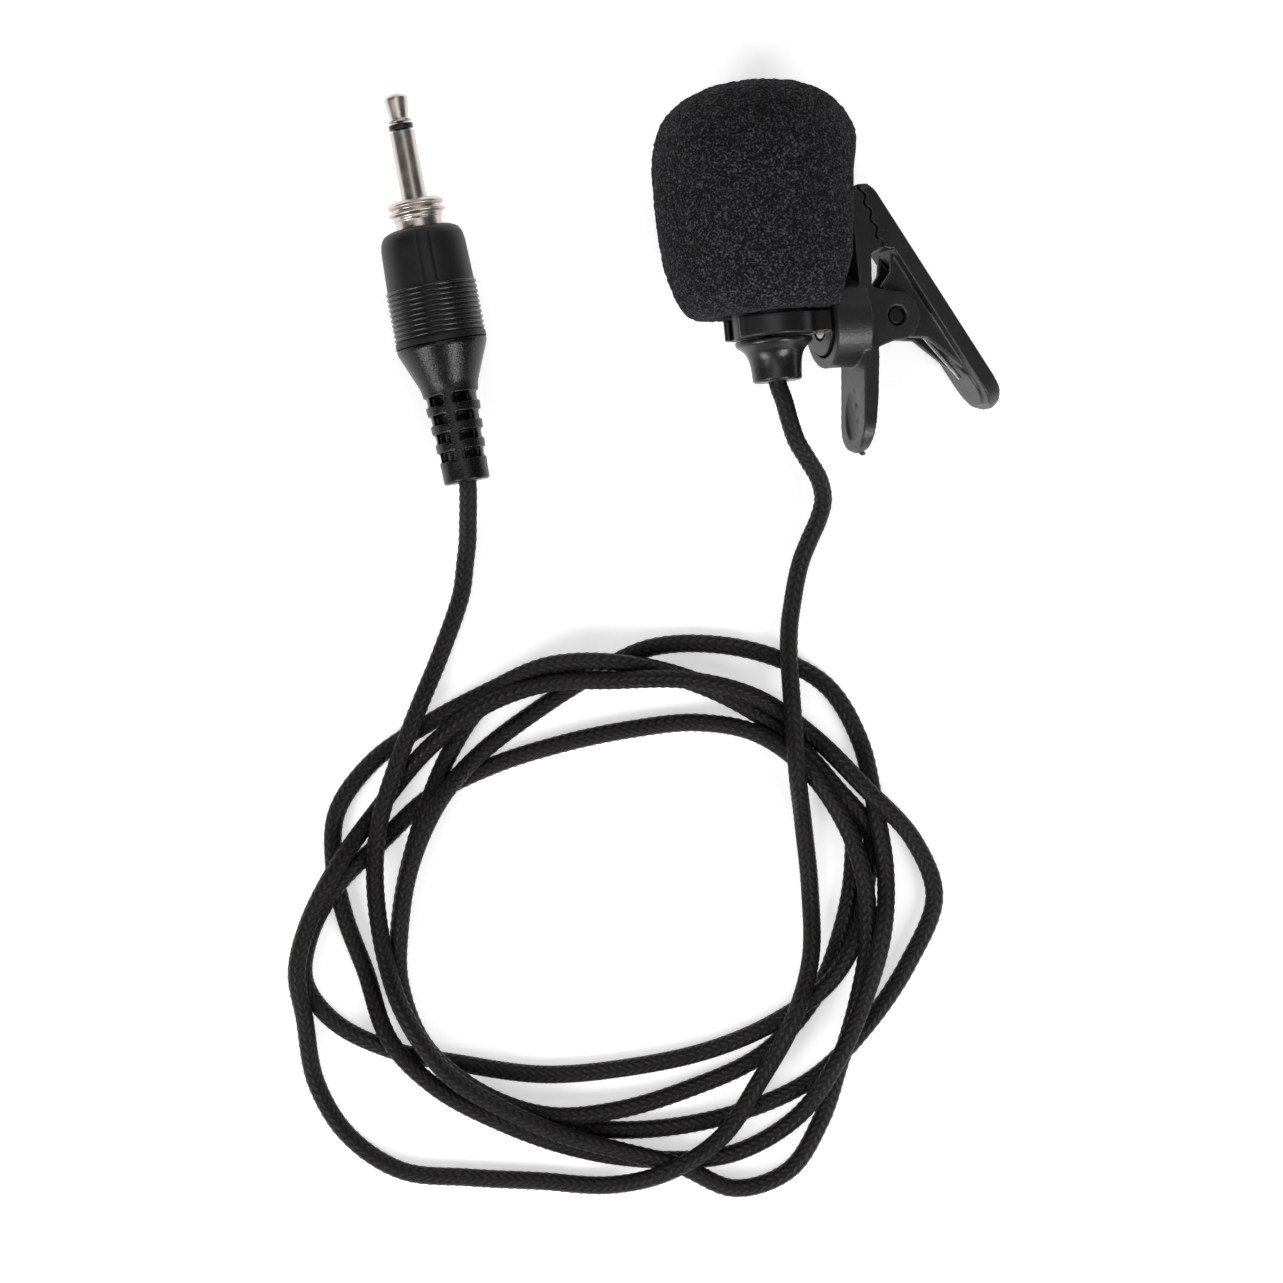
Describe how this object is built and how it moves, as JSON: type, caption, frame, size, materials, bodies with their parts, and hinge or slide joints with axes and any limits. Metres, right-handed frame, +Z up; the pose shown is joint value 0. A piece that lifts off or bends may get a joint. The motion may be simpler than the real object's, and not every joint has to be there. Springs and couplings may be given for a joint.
{
  "type": "lavalier microphone",
  "caption": "Clip-on lavalier microphone with foam windscreen, swivelling spring clip, braided lead and locking 3.5 mm mono plug.",
  "frame": {"origin": "centre of the footprint of the microphone and its clip, on the surface they lie on; the plug and the lead are left out of that footprint", "axes": "+Z up from the surface; +Y along the microphone towards the windscreen (the microphone leans 5.7 degrees to the left of it); +X towards the clip"},
  "size_m": [0.0989, 0.1553, 0.0292],
  "materials": {
    "foam": "open-cell foam, near black",
    "black_plastic": "fine satin",
    "gloss_plastic": "moulded, semi gloss",
    "soft_pvc": "soft PVC, satin",
    "nickel": "nickel plated, polished",
    "aluminium": "satin",
    "spring_steel": "bright",
    "rubber": "matt",
    "felt": "felt",
    "board": "solder mask",
    "wire": "thin insulation",
    "braid": "braided nylon, near black"
  },
  "bodies": {
    "microphone": {"mic_housing": "black_plastic", "capsule_grille": "black_plastic", "dust_felt": "felt", "electret_capsule": "aluminium", "rubber_sleeve": "rubber", "capsule_board": "board", "cable_clamp": "nickel", "signal_wire": "wire", "ground_wire": "wire", "rear_boot": "gloss_plastic", "holder_ring": "black_plastic", "cord": "braid", "strain_relief": "soft_pvc", "plug_core": "black_plastic", "plug_sleeve": "nickel", "plug_tip": "nickel", "tip_insulator": "soft_pvc", "tip_lead": "wire", "shield_lead": "wire"},
    "windscreen": {"foam_windscreen": "foam"},
    "clip_back_jaw": {"base_jaw": "black_plastic", "swivel_rivet": "nickel", "hinge_pin": "black_plastic", "clip_spring": "spring_steel"},
    "clip_front_jaw": {"front_jaw": "black_plastic"},
    "plug_lock": {"lock_collar": "nickel", "grip_sleeve": "soft_pvc"}
  },
  "joints": [
    {"name": "windscreen_pull", "type": "slide", "parent": "microphone", "child": "windscreen", "axis": [-0.0993, 0.9951, 0], "range_m": [0, 0.035]},
    {"name": "clip_swivel", "type": "hinge", "parent": "microphone", "child": "clip_back_jaw", "pos_m": [-0.00768, -0.00842, 0.0146], "axis": [0.9362, 0.0934, -0.3387], "continuous": true, "deforming": ["foam_windscreen"]},
    {"name": "clip_open", "type": "hinge", "parent": "clip_back_jaw", "child": "clip_front_jaw", "pos_m": [0.00818, -0.00679, 0.00886], "axis": [-0.3371, -0.0336, -0.9409], "range_deg": [0, 28], "stiffness_Nm_per_rad": 0.1, "springref_deg": -51.57, "deforming": ["clip_spring"]},
    {"name": "plug_lock_turn", "type": "hinge", "parent": "microphone", "child": "plug_lock", "pos_m": [-0.04998, -0.02932, 0.0065], "axis": [-0.184, 0.9829, 0], "continuous": true}
  ]
}
